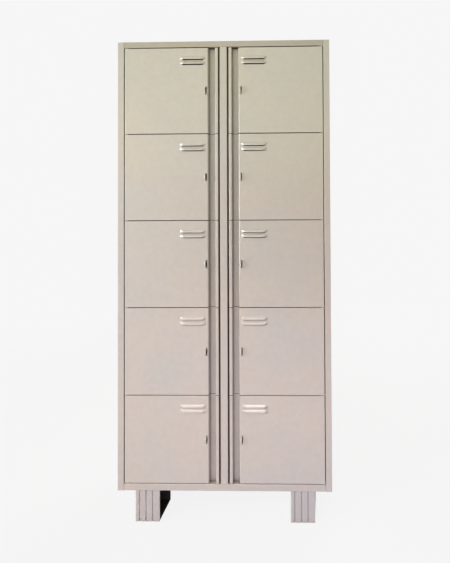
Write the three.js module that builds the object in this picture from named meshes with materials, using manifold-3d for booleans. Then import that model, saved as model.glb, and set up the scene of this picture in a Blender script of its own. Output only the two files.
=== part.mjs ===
// Ten-door steel parcel locker: two columns of five inset doors in a welded frame, on four channel legs.
// Units are millimetres, with +X to the right, +Y to the back and +Z up.
// The origin is on the floor, in the middle of the whole part's width and depth.

import * as THREE from "three";
import Module from "manifold-3d";
import { mergeVertices } from "three/addons/utils/BufferGeometryUtils.js";

const wasm = await Module();
wasm.setup();

// Overall sizes
const bodyWidth = 880;
const bodyDepth = 480;
const bodyHeight = 1850;
const legHeight = 130;
const rowCount = 5;

// Sheet thicknesses
const doorSheet = 1;
const carcassSheet = 1.2;
const frameSheet = 1.5;
const legSheet = 2.5;
const pivotPlate = 3;
const bracketPlate = 3;

// Visible widths of the front frame
const stileFace = 25;
const topRailFace = 24;
const bottomRailFace = 28;
const postFace = 30;

// Clearances
const seatGap = 0.3;
const rowGap = 3;
const hingeGap = 3;
const freeGap = 7;
const stopGap = 2;
const pinClearance = 0.3;
const pivotClearance = 0.4;
const slotClearance = 2;

// Frame returns behind the front face
const stopLap = 12;
const postWing = 14;
const railReturn = 20;

// Doors, measured inward from the free edge and back from the front face
const doorDepth = 20;
const doorCorner = 2;
const doorReturn = 12;
const lipReturn = 10;
const lipWidth = 12;
const recessFloor = 22.5;
const recessDepth = 18;
const lipSlope = 3.5;
const stepSlope = 3;
const stepBevelWidth = 2.5;
const stepBevelDepth = 2.5;

// Concealed hinges
const hingeInset = 6;
const rodRadius = 2.5;
const tabThickness = 2;
const tabReach = 17;
const tabRecess = 2.5;
const tabDepth = 15;
const pivotPlateWidth = 18;
const holeSides = 12;

// Door louvres
const louvreCount = 2;
const louvreLength = 111;
const louvreHeight = 14.5;
const louvrePitch = 19;
const louvreProud = 6;
const louvreEnd = 12;
const louvreDrop = 33;
const louvreInset = 6.5;

// Door stiffener
const stiffenerWidth = 30;
const stiffenerDepth = 8;
const stiffenerFlange = 10;
const stiffenerEndGap = 6;

// Padlock staple, a bent rod on a bracket behind each door
const stapleRadius = 2.5;
const stapleBend = 13;
const stapleReach = 18;
const stapleInset = 7.5;
const stapleSides = 8;
const stapleSteps = 6;
const bracketHeight = 40;
const bracketMargin = 9;
const bracketPostGap = 2;

// Shelves
const shelfRise = 8;
const shelfFlange = 25;
const shelfHem = 10;
const shelfSideFlange = 15;

// Floor of the body and its leg rails
const floorDrop = 2;
const floorRail = 170;

// Legs
const legWidth = 100;
const legDepth = 125;
const legInset = 70;
const legSetback = 5;
const footHole = 6;
const grooveCount = 3;
const groovePitch = 27;
const grooveStart = 18;
const grooveWidth = 6.5;
const grooveDepth = 3;

// Leg bolts, with weld nuts on the leg rails
const boltRadius = 5;
const boltHead = 8.5;
const boltHeadHeight = 6.5;
const boltStand = 4;
const nutRadius = 10;
const nutHeight = 8;
const boltClearance = 0.5;

// Places worked out from the sizes above
const frontY = (stapleReach - bodyDepth) / 2;
const backY = frontY + bodyDepth;
const bodyHalf = bodyWidth / 2;
const bodyBottom = legHeight;
const bodyTop = legHeight + bodyHeight;
const openHalf = bodyHalf - stileFace;
const openBottom = bodyBottom + bottomRailFace;
const openTop = bodyTop - topRailFace;
const postHalf = postFace / 2;
const doorFree = postHalf + freeGap;
const doorWidth = openHalf - hingeGap - doorFree;
const doorHeight = (openTop - openBottom - (rowCount + 1) * rowGap) / rowCount;
const doorPitch = doorHeight + rowGap;
const stopY = frontY + doorDepth + stopGap;
const innerFrontY = stopY + frameSheet + seatGap;
const tuckY = frontY + frameSheet + seatGap;
const innerBackY = backY - carcassSheet - seatGap;
const sideInner = bodyHalf - carcassSheet;
const coverZ = bodyTop - carcassSheet;
const wallTop = coverZ - seatGap;
const floorTop = openBottom - floorDrop;
const hingeX = openHalf - hingeGap - hingeInset;
const hingeY = frontY + hingeInset;
const faceStart = lipWidth + lipSlope + recessFloor + stepSlope + stepBevelWidth;
const stapleX = doorFree + faceStart + stapleInset;
const legTop = legHeight - seatGap;

// Height of the lower edge of the door in a row counted from the top, where row 0 is the opening's upper edge
const doorBottom = (row) => openTop - row * doorPitch;
const seamCentre = (row) => doorBottom(row) - rowGap / 2;

// Solids

// Makes a solid that can be joined or cut from a closed geometry.
function solid(geometry) {
  const bare = new THREE.BufferGeometry();
  bare.setAttribute("position", geometry.getAttribute("position"));
  bare.setIndex(geometry.getIndex());
  const merged = mergeVertices(bare, 1e-4);
  const vertProperties = new Float32Array(merged.getAttribute("position").array);
  const triVerts = new Uint32Array(merged.getIndex().array);
  return new wasm.Manifold(new wasm.Mesh({ numProp: 3, vertProperties, triVerts }));
}

// Gives a solid's surface as a geometry.
function surface(body) {
  const { vertProperties, triVerts } = body.getMesh();
  const geometry = new THREE.BufferGeometry();
  geometry.setAttribute("position", new THREE.BufferAttribute(vertProperties, 3));
  geometry.setIndex(new THREE.BufferAttribute(triVerts, 1));
  return geometry;
}

// Swaps left and right, and turns the faces so that they point outward again.
function mirrored(geometry) {
  const copy = geometry.clone().applyMatrix4(new THREE.Matrix4().makeScale(-1, 1, 1));
  const corners = copy.getIndex().array;
  for (let i = 0; i < corners.length; i += 3) {
    [corners[i + 1], corners[i + 2]] = [corners[i + 2], corners[i + 1]];
  }
  return copy;
}

// Extrudes an outline of [u, v] points along its normal.
function extrude(outline, length) {
  const shape = new THREE.Shape(outline.map(([u, v]) => new THREE.Vector2(u, v)));
  return new THREE.ExtrudeGeometry(shape, { depth: length, bevelEnabled: false });
}

// Upright prism from an outline of [x, y] points.
function alongZ(outline, from, to) {
  return solid(extrude(outline, to - from).translate(0, 0, from));
}

// Prism across the part from an outline of [y, z] points.
function alongX(outline, from, to) {
  const turn = new THREE.Matrix4().set(0, 0, 1, from, 1, 0, 0, 0, 0, 1, 0, 0, 0, 0, 0, 1);
  return solid(extrude(outline, to - from).applyMatrix4(turn));
}

// Prism from front to back from an outline of [x, z] points.
function alongY(outline, from, to) {
  const turned = outline.map(([x, z]) => [z, x]);
  const turn = new THREE.Matrix4().set(0, 1, 0, 0, 0, 0, 1, from, 1, 0, 0, 0, 0, 0, 0, 1);
  return solid(extrude(turned, to - from).applyMatrix4(turn));
}

function block(x0, x1, y0, y1, z0, z1) {
  const geometry = new THREE.BoxGeometry(x1 - x0, y1 - y0, z1 - z0);
  return solid(geometry.translate((x0 + x1) / 2, (y0 + y1) / 2, (z0 + z1) / 2));
}

// Corners of a regular polygon round a centre, whose corners lie at the radius.
function polygon(centreU, centreV, radius, sides) {
  const corners = [];
  for (let i = 0; i < sides; i += 1) {
    const angle = (i * 2 * Math.PI) / sides;
    corners.push([centreU + radius * Math.cos(angle), centreV + radius * Math.sin(angle)]);
  }
  return corners;
}

// Corners of a polygon whose flat sides lie at the radius, so that a pin of that radius passes.
function holeOutline(centreU, centreV, radius) {
  return polygon(centreU, centreV, radius / Math.cos(Math.PI / holeSides), holeSides);
}

// Outline of a folded sheet: the path is one face, and the sheet lies to the left of it.
function folded(path, thickness) {
  const inner = path.map(([u, v], i) => {
    const normals = [];
    for (const start of [i - 1, i]) {
      if (start >= 0 && start < path.length - 1) {
        const du = path[start + 1][0] - path[start][0];
        const dv = path[start + 1][1] - path[start][1];
        const length = Math.hypot(du, dv);
        normals.push([-dv / length, du / length]);
      }
    }
    const [first, last] = [normals[0], normals[normals.length - 1]];
    const reach = thickness / (1 + first[0] * last[0] + first[1] * last[1]);
    return [u + (first[0] + last[0]) * reach, v + (first[1] + last[1]) * reach];
  });
  return [...path, ...inner.reverse()];
}

// Closed solid through rings of points, each ring with the same number of points.
function loft(rings) {
  const size = rings[0].length;
  const corners = [];
  for (let i = 0; i < rings.length - 1; i += 1) {
    for (let j = 0; j < size; j += 1) {
      const [a, b] = [i * size + j, i * size + ((j + 1) % size)];
      corners.push(a, b, b + size, a, b + size, a + size);
    }
  }
  const last = (rings.length - 1) * size;
  for (let j = 1; j < size - 1; j += 1) {
    corners.push(0, j + 1, j, last, last + j, last + j + 1);
  }
  const geometry = new THREE.BufferGeometry();
  geometry.setAttribute("position", new THREE.Float32BufferAttribute(rings.flat(2), 3));
  geometry.setIndex(corners);
  return solid(geometry);
}

// Right-hand door, with its lower edge at zero height

const doorX = (across) => doorFree + across;

// Visible line of the pressed front, from the lip's return to the hinge side's return.
function doorLine() {
  const floorStart = lipWidth + lipSlope;
  const floorEnd = floorStart + recessFloor;
  const round = doorCorner * (1 - Math.SQRT1_2);
  return [
    [lipReturn, doorDepth],
    [0, doorDepth],
    [0, 0],
    [lipWidth, 0],
    [floorStart, recessDepth],
    [floorEnd, recessDepth],
    [floorEnd + stepSlope, stepBevelDepth],
    [faceStart, 0],
    [doorWidth - doorCorner, 0],
    [doorWidth - round, round],
    [doorWidth, doorCorner],
    [doorWidth, doorDepth],
    [doorWidth - doorReturn, doorDepth],
  ];
}

// Section of a louvre at a share of its full height, grown outward or, for its hollow, shrunk by the sheet.
function louvreRing(x, bottom, share, shrink) {
  const proud = Math.max(louvreProud * share - shrink, 0);
  const high = (louvreHeight - shrink) * (0.5 + 0.5 * share);
  const rootY = frontY + doorSheet * (shrink > 0 ? 2 : 0.5);
  const low = shrink > 0 ? bottom - seatGap : bottom;
  const faceY = frontY + doorSheet * 0.25 * (1 - share);
  return [
    [x, rootY, bottom + high],
    [x, faceY - proud * 0.4, bottom + high * 0.85],
    [x, faceY - proud * 0.85, bottom + high * 0.5],
    [x, faceY - proud, low],
    [x, rootY, low],
  ];
}

function louvre(start, bottom, shrink) {
  const end = start + louvreLength;
  const inset = shrink > 0 ? doorSheet : 0;
  const rings = [
    louvreRing(start + inset, bottom, 0, shrink),
    louvreRing(start + inset + louvreEnd * 0.3, bottom, 0.7, shrink),
    louvreRing(start + louvreEnd, bottom, 1, shrink),
    louvreRing(end - louvreEnd, bottom, 1, shrink),
    louvreRing(end - inset - louvreEnd * 0.3, bottom, 0.7, shrink),
    louvreRing(end - inset, bottom, 0, shrink),
  ];
  return loft(rings);
}

// Upright slot with round ends that the padlock staple comes through.
function stapleSlot() {
  const halfWidth = stapleRadius + slotClearance;
  const halfHeight = stapleBend + stapleRadius + slotClearance;
  const outline = [];
  for (let i = 0; i < 8; i += 1) {
    const angle = ((i + 0.5) * Math.PI) / 4;
    const shift = i < 4 ? halfHeight - halfWidth : halfWidth - halfHeight;
    const u = stapleX + halfWidth * Math.cos(angle);
    outline.push([u, doorHeight / 2 + shift + halfWidth * Math.sin(angle)]);
  }
  return alongY(outline, frontY - doorSheet, frontY + 2 * doorSheet);
}

function door() {
  const line = doorLine();
  const place = ([across, depth]) => [doorX(across), frontY + depth];
  let body = alongZ(folded(line, doorSheet).map(place), 0, doorHeight);

  // The end flanges close the box behind the flat face and leave the finger recess open at both ends.
  const boxLine = [...line.slice(5, 12), [lipWidth + lipSlope + recessFloor, doorDepth]];
  const plateEnd = doorWidth - doorSheet / 2;
  const plate = [plateEnd - pivotPlateWidth, plateEnd];
  const pivotHole = holeOutline(hingeX, hingeY, rodRadius + pivotClearance);
  for (const [end, inward] of [[0, 1], [doorHeight, -1]]) {
    const levels = [end, end + inward * doorSheet].sort((a, b) => a - b);
    const plateLevels = [end + inward * doorSheet, end + inward * (doorSheet + pivotPlate)];
    plateLevels.sort((a, b) => a - b);
    body = body.add(alongZ(boxLine.map(place), ...levels));
    const [front, back] = [frontY + doorCorner, frontY + doorDepth - doorSheet];
    body = body.add(block(doorX(plate[0]), doorX(plate[1]), front, back, ...plateLevels));
  }
  body = body.subtract(alongZ(pivotHole, -1, doorHeight + 1));

  const louvreStart = doorX(faceStart + louvreInset);
  for (let i = 0; i < louvreCount; i += 1) {
    const bottom = doorHeight - louvreDrop - i * louvrePitch - louvreHeight;
    body = body.add(louvre(louvreStart, bottom, 0));
    body = body.subtract(louvre(louvreStart, bottom, doorSheet));
  }
  return surface(body.subtract(stapleSlot()));
}

// Hat-shaped stiffener up the middle of the door's back, with its lower end at zero height.
function stiffener() {
  const centre = doorX((faceStart + doorWidth) / 2);
  const near = frontY + doorSheet + seatGap;
  const far = near + stiffenerDepth + doorSheet;
  const half = stiffenerWidth / 2;
  const line = [
    [centre + half + stiffenerFlange, near + doorSheet],
    [centre + half, near + doorSheet],
    [centre + half, far],
    [centre - half, far],
    [centre - half, near + doorSheet],
    [centre - half - stiffenerFlange, near + doorSheet],
  ];
  const height = doorHeight - 2 * stiffenerEndGap;
  return surface(alongZ(folded(line, doorSheet), 0, height));
}

// Half circle that the front of a padlock staple follows.
class StapleBow extends THREE.Curve {
  getPoint(share, target = new THREE.Vector3()) {
    const angle = Math.PI * (share - 0.5);
    const y = frontY - stapleReach + stapleRadius + stapleBend * (1 - Math.cos(angle));
    return target.set(stapleX, y, stapleBend * Math.sin(angle));
  }
}

// Staple with its bracket plate, centred on zero height.
function staple() {
  const plateY = innerFrontY;
  const section = polygon(0, 0, stapleRadius, stapleSides).map(([u, v]) => new THREE.Vector2(u, v));
  const bowOptions = { steps: stapleSteps, extrudePath: new StapleBow(), bevelEnabled: false };
  let body = solid(new THREE.ExtrudeGeometry(new THREE.Shape(section), bowOptions));
  const bowEnd = frontY - stapleReach + stapleRadius + stapleBend;
  for (const z of [-stapleBend, stapleBend]) {
    const leg = polygon(stapleX, z, stapleRadius, stapleSides);
    body = body.add(alongY(leg, bowEnd - seatGap, plateY + bracketPlate / 2));
  }
  const [left, right] = [postHalf + bracketPostGap, stapleX + bracketMargin];
  const half = bracketHeight / 2;
  return surface(body.add(block(left, right, plateY, plateY + bracketPlate, -half, half)));
}

// Shelf of the right-hand column, for the seam under a row at zero height
function shelf() {
  const [left, right] = [carcassSheet / 2 + seatGap, sideInner - seatGap];
  const [frontLeft, frontRight] = [postHalf + postWing + seatGap, openHalf - stopLap - seatGap];
  const top = shelfRise;
  const frontLine = [
    [innerFrontY, top],
    [stopY, top],
    [stopY, top - shelfFlange],
    [stopY + shelfHem, top - shelfFlange],
  ];
  const sideLine = [
    [right, top - shelfSideFlange],
    [right, top],
    [left, top],
    [left, top - shelfSideFlange],
  ];
  let body = alongY(folded(sideLine, carcassSheet), innerFrontY, innerBackY);
  body = body.add(alongX(folded(frontLine, carcassSheet), frontLeft, frontRight));
  const [rearLeft, rearRight] = [left + carcassSheet / 2, right - carcassSheet / 2];
  const rearY = innerBackY - carcassSheet;
  const rearTop = top - carcassSheet / 2;
  return surface(body.add(block(rearLeft, rearRight, rearY, innerBackY, top - shelfSideFlange, rearTop)));
}

// Frame

// Right-hand stile with a hinge tab in each gap above and below the doors.
function stile() {
  const line = [
    [bodyHalf, frontY],
    [openHalf, frontY],
    [openHalf, stopY],
    [openHalf - stopLap, stopY],
  ];
  let body = alongZ(folded(line, -frameSheet), bodyBottom, bodyTop);
  const cutX = openHalf - stopLap - 1;
  body = body.subtract(block(cutX, bodyHalf, tuckY - seatGap / 2, backY, wallTop, bodyTop + 1));
  for (let row = 0; row <= rowCount; row += 1) {
    const z = seamCentre(row);
    const [x0, x1] = [openHalf - tabReach, openHalf + frameSheet / 2];
    const [y0, y1] = [frontY + tabRecess, frontY + tabRecess + tabDepth];
    body = body.add(block(x0, x1, y0, y1, z - tabThickness / 2, z + tabThickness / 2));
  }
  const hole = holeOutline(hingeX, hingeY, rodRadius + pinClearance);
  return surface(body.subtract(alongZ(hole, bodyBottom, bodyTop)));
}

// Rail between the stiles: `up` is 1 for the lower rail and -1 for the upper one.
function rail(edge, up, face, hasReturn) {
  const end = openHalf - seatGap;
  const inner = edge + up * face;
  const line = [
    [frontY, edge],
    [frontY, inner],
    [stopY, inner],
    [stopY, inner + up * stopLap],
  ];
  if (hasReturn) {
    line.unshift([frontY + railReturn, edge]);
  }
  let body = alongX(folded(line, -up * frameSheet), -end, end);

  // The stop flange leaves room for the post's wings, and the rail's ends for the stiles' stop flanges.
  const tip = inner + up * (stopLap + 1);
  const root = inner - up * (frameSheet + 1);
  const wing = postHalf + postWing + seatGap;
  const stileEdge = openHalf - stopLap - seatGap;
  const cuts = [
    [-end - 1, -stileEdge, stopY - seatGap, root],
    [-wing, wing, stopY - 1, inner],
    [stileEdge, end + 1, stopY - seatGap, root],
  ];
  for (const [x0, x1, y0, z] of cuts) {
    body = body.subtract(block(x0, x1, y0, innerFrontY, Math.min(z, tip), Math.max(z, tip)));
  }
  return surface(body);
}

// Hat-shaped post between the two columns.
function post() {
  const line = [
    [-postHalf - postWing, stopY],
    [-postHalf, stopY],
    [-postHalf, frontY],
    [postHalf, frontY],
    [postHalf, stopY],
    [postHalf + postWing, stopY],
  ];
  return surface(alongZ(folded(line, frameSheet), openBottom + seatGap, openTop - seatGap));
}

// Carcass

// Right-hand side panel, between the stile and the back panel.
function sidePanel() {
  return surface(block(sideInner, bodyHalf, tuckY, innerBackY, bodyBottom, wallTop));
}

// Back panel, across the rear edges of the side panels.
function backPanel() {
  return surface(block(-bodyHalf, bodyHalf, backY - carcassSheet, backY, bodyBottom, wallTop));
}

function topPanel() {
  return surface(block(-bodyHalf, bodyHalf, tuckY, backY, coverZ, bodyTop));
}

// Floor of the body, folded down at the sides and in again as the rails that the legs bolt to.
function bottomPanel() {
  const side = sideInner - seatGap;
  const line = [
    [floorRail - side, bodyBottom],
    [-side, bodyBottom],
    [-side, floorTop],
    [side, floorTop],
    [side, bodyBottom],
    [side - floorRail, bodyBottom],
  ];
  let body = alongY(folded(line, -carcassSheet), innerFrontY, innerBackY);
  for (const { x, y } of legPlaces()) {
    const [z0, z1] = [bodyBottom + carcassSheet / 2, bodyBottom + carcassSheet + nutHeight];
    body = body.add(alongZ(polygon(x, y, nutRadius, 6), z0, z1));
    body = body.subtract(alongZ(holeOutline(x, y, boltRadius + boltClearance), bodyBottom - 1, z1 + 1));
  }
  return surface(body);
}

// Partition between the columns, with a tongue that reaches forward into the post.
function partition() {
  const half = carcassSheet / 2;
  const [low, high] = [openBottom + seatGap, openTop - seatGap];
  const sheet = block(-half, half, innerFrontY, innerBackY, floorTop + seatGap, wallTop);
  return surface(sheet.add(block(-half, half, tuckY, innerFrontY + 1, low, high)));
}

// Legs

// Middle of each leg, with its turn about the vertical: the rear legs face backward.
function legPlaces() {
  const x = bodyHalf - legInset - legWidth / 2;
  const frontLegY = frontY + legSetback + legDepth / 2;
  const backLegY = backY - legSetback - legDepth / 2;
  return [
    { name: "front_left", x: -x, y: frontLegY, turn: 0 },
    { name: "front_right", x, y: frontLegY, turn: 0 },
    { name: "rear_left", x: -x, y: backLegY, turn: Math.PI },
    { name: "rear_right", x, y: backLegY, turn: Math.PI },
  ];
}

// Box leg, open on its right side, with a fluted front. Its middle is at the origin.
function leg() {
  const [halfX, halfY] = [legWidth / 2, legDepth / 2];
  const outer = block(-halfX, halfX, -halfY, halfY, 0, legTop);
  const [x0, y0] = [legSheet - halfX, legSheet + grooveDepth - halfY];
  const hollow = block(x0, halfX + 1, y0, halfY - legSheet, legSheet, legTop - legSheet);
  let body = outer.subtract(hollow);
  for (let i = 0; i < grooveCount; i += 1) {
    const centre = grooveStart + i * groovePitch - halfX;
    const outline = [
      [centre - grooveWidth / 2, -halfY - 1],
      [centre - grooveWidth / 2, -halfY],
      [centre - grooveWidth / 4, grooveDepth - halfY],
      [centre + grooveWidth / 4, grooveDepth - halfY],
      [centre + grooveWidth / 2, -halfY],
      [centre + grooveWidth / 2, -halfY - 1],
    ];
    body = body.subtract(alongZ(outline, -1, legTop + 1));
  }
  body = body.subtract(alongZ(holeOutline(0, 0, boltRadius + boltClearance), legTop - legSheet - 1, legTop + 1));
  return surface(body.subtract(alongZ(holeOutline(0, 0, footHole), -1, legSheet + 1)));
}

// Hexagon bolt from inside the leg up through its rail and weld nut.
function legBolt() {
  const seat = legTop - legSheet - seatGap;
  const tip = bodyBottom + carcassSheet + nutHeight + boltStand;
  const shank = alongZ(polygon(0, 0, boltRadius, holeSides), seat - boltHeadHeight / 2, tip);
  const head = alongZ(polygon(0, 0, boltHead, 6), seat - boltHeadHeight, seat);
  return surface(shank.add(head));
}

function hingeRod() {
  const outline = polygon(hingeX, hingeY, rodRadius, holeSides);
  return surface(alongZ(outline, openBottom + seatGap, openTop - seatGap));
}

// Finishes
const enamel = { color: 0xcdc4b2, roughness: 0.42, metalness: 0 };
const primer = { color: 0x8d877c, roughness: 0.6, metalness: 0 };
const zinc = { color: 0xb4b4b0, roughness: 0.35, metalness: 0.9 };

const locker = new THREE.Group();

// Adds a named sub-part, moved to its place and turned about the vertical.
function place(name, geometry, finish, x = 0, y = 0, z = 0, turn = 0) {
  const mesh = new THREE.Mesh(geometry, new THREE.MeshStandardMaterial({ ...finish, flatShading: true }));
  mesh.name = name;
  mesh.position.set(x, y, z);
  mesh.rotation.z = turn;
  locker.add(mesh);
}

// Adds a right-hand sub-part for the column at the given side, mirrored for the left one.
function placeSide(side, name, geometry, finish, z = 0) {
  place(name, side === "left" ? mirrored(geometry) : geometry, finish, 0, 0, z);
}

place("back_panel", backPanel(), enamel);
place("top_panel", topPanel(), enamel);
place("bottom_panel", bottomPanel(), enamel);
place("centre_partition", partition(), enamel);
place("frame_rail_top", rail(bodyTop, -1, topRailFace, false), enamel);
place("frame_rail_bottom", rail(bodyBottom, 1, bottomRailFace, true), enamel);
place("centre_post", post(), enamel);

const [sideShape, stileShape, shelfShape] = [sidePanel(), stile(), shelf()];
const [doorShape, stiffenerShape, stapleShape] = [door(), stiffener(), staple()];
for (const side of ["left", "right"]) {
  placeSide(side, `side_panel_${side}`, sideShape, enamel);
  placeSide(side, `frame_stile_${side}`, stileShape, enamel);
  placeSide(side, `hinge_rod_${side}`, hingeRod(), zinc);
  for (let row = 1; row < rowCount; row += 1) {
    placeSide(side, `shelf_${side}_${row}`, shelfShape, enamel, seamCentre(row));
  }
  for (let row = 1; row <= rowCount; row += 1) {
    const bottom = doorBottom(row);
    placeSide(side, `door_${side}_${row}`, doorShape, enamel, bottom);
    placeSide(side, `door_stiffener_${side}_${row}`, stiffenerShape, primer, bottom + stiffenerEndGap);
    placeSide(side, `padlock_staple_${side}_${row}`, stapleShape, zinc, bottom + doorHeight / 2);
  }
}

for (const { name, x, y, turn } of legPlaces()) {
  place(`leg_${name}`, leg(), enamel, x, y, 0, turn);
  place(`leg_bolt_${name}`, legBolt(), zinc, x, y);
}

export default locker;
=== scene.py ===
# Looks of the ten-door steel parcel locker: rounded sheet metal, pressed louvres and stoved enamel.
# Every size is in metres and every angle constant in degrees. Right-hand shapes are made once, and
# mirrored for the left-hand column.

import math

import bmesh
import bpy
from mathutils import Matrix, Vector


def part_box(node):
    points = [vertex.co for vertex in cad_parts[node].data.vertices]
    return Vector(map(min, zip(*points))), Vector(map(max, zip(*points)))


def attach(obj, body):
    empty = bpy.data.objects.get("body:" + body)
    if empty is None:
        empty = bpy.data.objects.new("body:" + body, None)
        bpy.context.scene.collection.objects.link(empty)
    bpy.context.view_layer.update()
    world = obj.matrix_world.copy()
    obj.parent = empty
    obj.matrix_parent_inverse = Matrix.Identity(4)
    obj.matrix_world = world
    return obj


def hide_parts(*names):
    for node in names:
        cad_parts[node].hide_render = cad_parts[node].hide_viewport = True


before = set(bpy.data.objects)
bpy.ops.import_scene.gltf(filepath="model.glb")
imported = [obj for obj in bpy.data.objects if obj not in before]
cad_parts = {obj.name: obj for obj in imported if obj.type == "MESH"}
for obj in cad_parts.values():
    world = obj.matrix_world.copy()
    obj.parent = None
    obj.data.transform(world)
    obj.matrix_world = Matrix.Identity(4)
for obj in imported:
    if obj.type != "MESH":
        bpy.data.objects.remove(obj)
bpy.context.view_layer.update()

# Sheets and clearances
SEAT_GAP = 0.0003
DOOR_SHEET = 0.001
CARCASS_SHEET = 0.0012
FRAME_SHEET = 0.0015
LEG_SHEET = 0.0025

# Bends of the sheets, and the number of the middle one of five strips
STIFFENER_BEND = 0.0014
TRAY_BEND = 0.0018
DOOR_BEND = 0.0022
FRAME_BEND = 0.0022
RAIL_BEND = 0.003
FOLD_ANGLE = 15
FOLD_SEGMENTS = 3
MIDDLE_OF_FIVE = 2

# Edges that are only rounded off
SHARP_ANGLE = 35
EDGE_SEGMENTS = 2
FLAT_WEIGHT = 60
TAB_EDGE = 0.0004
SIDE_EDGE = 0.0004
TOP_EDGE = 0.0005
PLATE_EDGE = 0.0006
NUT_EDGE = 0.0008
BOLT_EDGE = 0.0009

# How far a cutting shape stands past what it cuts
CUT_MARGIN = 0.001
WIDE_CUT_MARGIN = 0.01

# Frame returns behind the front face, and the stile's notch above a side panel
STOP_LAP = 0.012
POST_WING = 0.014
RAIL_RETURN = 0.020
NOTCH_DEPTH = 0.1

# Gap between doors, and the pressed front of a door from its free edge onward
DOOR_GAP = 0.003
LIP_RETURN = 0.010
LIP_WIDTH = 0.012
LIP_SLOPE = 0.0035
RECESS_FLOOR = 0.0225
RECESS_DEPTH = 0.018
STEP_SLOPE = 0.003
STEP_BEVEL = 0.0025
HINGE_RETURN = 0.012
END_FLANGE = 0.0152
PIVOT_PLATE = 0.003
PIVOT_WIDTH = 0.018
PIVOT_START = 0.6 * DOOR_SHEET
PIVOT_CLEARANCE = 0.0004
STIFFENER_FLANGE = 0.010

# Louvres: the closed share of an end's ramp is counted from its outer end
LOUVRE_COUNT = 2
LOUVRE_LENGTH = 0.111
LOUVRE_HEIGHT = 0.0138
LOUVRE_PITCH = 0.0198
LOUVRE_PROUD = 0.0065
LOUVRE_GAP = 0.0028
LOUVRE_DROP = 0.0345
LOUVRE_INSET = 0.0065
LOUVRE_SHEET = 0.8 * DOOR_SHEET
LOUVRE_SINK = 0.1 * DOOR_SHEET
LOUVRE_END = 0.018
LOUVRE_END_STEPS = 14
LOUVRE_END_CLOSED = 0.3
LOUVRE_END_SWELL = 0.05
LOUVRE_MOUTH_MARGIN = 0.6 * LOUVRE_END
LOUVRE_MOUTH_HEIGHT = 0.62 * LOUVRE_HEIGHT

# Section of an open hood: shares of its height, down from its root, and of how far it stands proud
HOOD_SECTION = ((-0.08, -0.06), (0.0, 0.0), (0.07, 0.04), (0.14, 0.13), (0.22, 0.26), (0.31, 0.40),
                (0.40, 0.54), (0.48, 0.66), (0.57, 0.78), (0.66, 0.87), (0.75, 0.93), (0.84, 0.97),
                (0.92, 0.99), (1.0, 1.0))

# Padlock staple and the slot that it comes through
STAPLE_RADIUS = 0.0025
STAPLE_BEND = 0.013
STAPLE_INSET = 0.0075
STAPLE_SHANK = 0.004
STAPLE_STEPS = 16
STAPLE_SIDES = 18
SLOT_HALF_WIDTH = 0.004
SLOT_HALF_HEIGHT = 0.018
SLOT_SIDES = 32
BRACKET_PLATE = 0.003

# Weld round the staple's feet: a bead with a wavy edge
BEAD_RADIUS = 0.0009
BEAD_OFFSET = 0.0002
BEAD_RIPPLE = 0.12
BEAD_LOBES = 5
BEAD_STEPS = 20
BEAD_SIDES = 8

# Hinge tabs on the stiles, and the rod through them
TAB_THICKNESS = 0.002
TAB_REACH = 0.017
TAB_RECESS = 0.0025
TAB_DEPTH = 0.015
PIN_CLEARANCE = 0.0003
ROD_CHAMFER = 0.0006
ROD_SIDES = 24

# Shelves, and the floor with its leg rails
SHELF_FLANGE = 0.025
SHELF_HEM = 0.010
SHELF_SIDE_FLANGE = 0.015
FLOOR_RAIL = 0.170
FLOOR_DROP = 0.002

# Spot welds on the side panels: depth and radius of the rings of a dimple
WELD_RINGS = ((0.00022, 0.0001), (0.00016, 0.0016), (0.0, 0.0026), (-0.0006, 0.0034))
WELD_SIDES = 14
WELD_COUNT = 6
WELD_MARGIN = 0.03
WELD_DROP = 0.008

# Legs and their bolts
GROOVE_COUNT = 3
GROOVE_PITCH = 0.027
GROOVE_START = 0.018
GROOVE_WIDTH = 0.0065
GROOVE_DEPTH = 0.0034
GROOVE_STEPS = 8
LEG_CORNER = 0.005
CORNER_STEPS = 5
LEG_PLATE_INSET = 0.0004
FOOT_HOLE = 0.006
BOLT_RADIUS = 0.005
BOLT_CLEARANCE = 0.0005
BOLT_HEAD = 0.0085
BOLT_HEAD_HEIGHT = 0.0065
BOLT_SHANK_START = 0.002
BOLT_TIP = 0.001
BOLT_SIDES = 32
NUT_RADIUS = 0.010
NUT_HEIGHT = 0.008
HEXAGON = 6

# Enamel: shares by which its base colour drifts, height of its bumps, and painted shade in corners and
# recesses, with less of it on faces that look up
WARM_TINT = (1.03, 1.0, 0.965)
COOL_TINT = (0.965, 0.985, 1.0)
MOTTLE_SHARES = (0.965, 1.02)
SHEET_WAVE = 0.0005
ORANGE_PEEL = 0.000012
ENAMEL_ROUGHNESS = 0.42
POLISHED = 0.05
SMEARED = 0.07
ENAMEL_SPECULAR = 0.3
COAT_ROUGHNESS = 0.12
# Painted shade: a dark brown mixed in by ambient occlusion, and the upward slopes that get less of it as if
# lit from above
SHADE_PAINT_COLOR = (80, 70, 58)
SHADE_PAINT_STRENGTH = 0.85
SHADE_PAINT_REACH = 0.05
SHADE_PAINT_OCCLUSION = (0.28, 0.7)
UPLIT_SLOPES = (0.2, 0.9)
UPLIT_SHARE = 0.1

# Primer and zinc plating
PRIMER_SHADE = (0.82, 0.82, 0.82)
PRIMER_ROUGHNESS = 0.62
PLATED_SHADE = (0.86, 0.86, 0.86)
PLATED_ROUGHNESS = (0.28, 0.42)
BRUSH_STRETCH = (1.0, 1.0, 0.04)
FINE_GRAIN = 0.00002

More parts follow.
